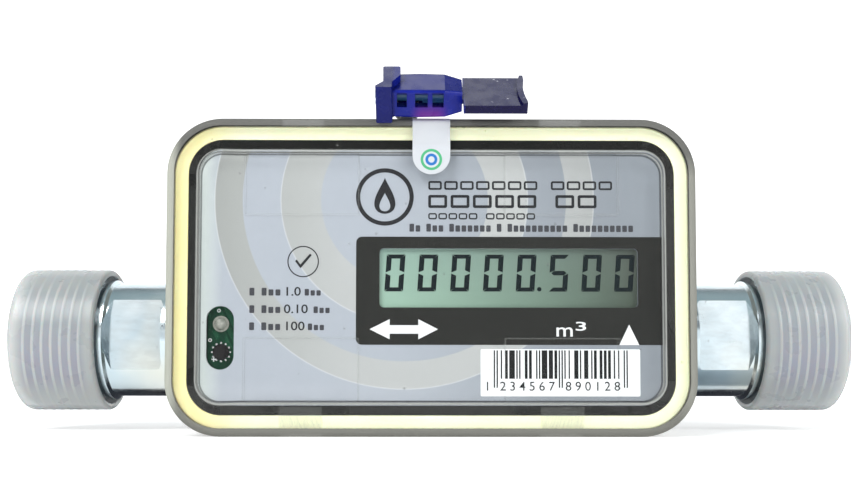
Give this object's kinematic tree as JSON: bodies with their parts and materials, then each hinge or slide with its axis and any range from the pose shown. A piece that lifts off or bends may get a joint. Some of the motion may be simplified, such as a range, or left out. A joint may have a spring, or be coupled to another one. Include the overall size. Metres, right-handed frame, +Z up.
{
  "type": "gas meter",
  "caption": "Flat household ultrasonic gas meter with a digital display under a clear cover, threaded end fittings with push-on plug caps, and a wire seal on top.",
  "frame": {"origin": "centre of the case's flat bottom face", "axes": "+X along the gas way, from inlet (left) to outlet (right); -Y out of the display; +Z up"},
  "size_m": [0.213, 0.0677, 0.0864],
  "materials": {
    "clear_cover": "clear moulded polycarbonate",
    "case_grey": "fine moulded grain",
    "gasket_cream": "soft silicone",
    "frame_black": "moulded",
    "dial_print": "printed plate",
    "paper_label": "matt paper",
    "tamper_foil": "satin foil",
    "lcd_glass": "polarised glass",
    "lcd_reflector": "satin",
    "pin_tin": "tinned",
    "pcb_green": "solder mask",
    "header_black": "moulded",
    "led_clear": "clear epoxy",
    "lens_dark": "dark epoxy",
    "chip_black": "moulded epoxy",
    "crystal_can": "drawn can",
    "capacitor_tan": "ceramic",
    "connector_white": "nylon",
    "screw_steel": "zinc plated",
    "chassis_grey": "moulded",
    "battery_sleeve": "shrink sleeve",
    "holder_black": "moulded",
    "lead_red": "PVC insulation",
    "lead_grey": "PVC insulation",
    "tube_alloy": "turned",
    "transducer_steel": "turned",
    "nut_black": "moulded",
    "seal_rubber": "nitrile",
    "straightener_white": "moulded",
    "screen_steel": "stainless",
    "zinc_steel": "bright blue zinc plating",
    "cap_translucent": "natural LDPE",
    "seal_blue": "tinted clear plastic",
    "rotor_plastic": "tinted clear plastic",
    "wire_steel": "twisted steel"
  },
  "bodies": {
    "meter": {"front_cover": "clear_cover", "cover_gasket": "gasket_cream", "rear_case": "case_grey", "inner_frame": "frame_black", "dial_plate": "dial_print", "barcode_label": "paper_label", "tamper_label": "tamper_foil", "lcd_glass": "lcd_glass", "lcd_reflector": "lcd_reflector", "lcd_holder": "frame_black", "lcd_pins": "pin_tin", "main_pcb": "pcb_green", "port_pcb": "pcb_green", "port_header": "header_black", "ir_led": "led_clear", "ir_receiver": "lens_dark", "microcontroller": "chip_black", "timing_chip": "chip_black", "quartz_crystal": "crystal_can", "capacitors": "capacitor_tan", "lead_connectors": "connector_white", "pcb_screws": "screw_steel", "chassis": "chassis_grey", "chassis_screws": "screw_steel", "battery": "battery_sleeve", "battery_holder": "holder_black", "battery_lead": "lead_red", "measuring_tube": "tube_alloy", "left_transducer": "transducer_steel", "right_transducer": "transducer_steel", "left_transducer_nut": "nut_black", "right_transducer_nut": "nut_black", "transducer_seals": "seal_rubber", "left_transducer_lead": "lead_grey", "right_transducer_lead": "lead_grey", "left_straightener": "straightener_white", "right_straightener": "straightener_white", "inlet_screen": "screen_steel", "tube_seals": "seal_rubber", "left_fitting": "zinc_steel", "right_fitting": "zinc_steel", "left_grommet": "seal_rubber", "right_grommet": "seal_rubber", "fitting_screws": "screw_steel"},
    "left_cap": {"left_cap": "cap_translucent"},
    "right_cap": {"right_cap": "cap_translucent"},
    "seal": {"seal_body": "seal_blue", "seal_wire": "wire_steel"},
    "seal_rotor": {"seal_rotor": "rotor_plastic"}
  },
  "joints": [
    {"name": "left_cap_off", "type": "slide", "parent": "meter", "child": "left_cap", "axis": [-1, 0, 0], "range_m": [0, 0.06]},
    {"name": "right_cap_off", "type": "slide", "parent": "meter", "child": "right_cap", "axis": [1, 0, 0], "range_m": [0, 0.06]},
    {"name": "seal_swing", "type": "hinge", "parent": "meter", "child": "seal", "pos_m": [-0.006, -0.02, 0.077], "axis": [-1, 0, 0], "range_deg": [0, 120]},
    {"name": "seal_rotor_turn", "type": "hinge", "parent": "seal", "child": "seal_rotor", "pos_m": [-0.003, -0.03, 0.07975], "axis": [1, 0, 0], "continuous": true}
  ]
}
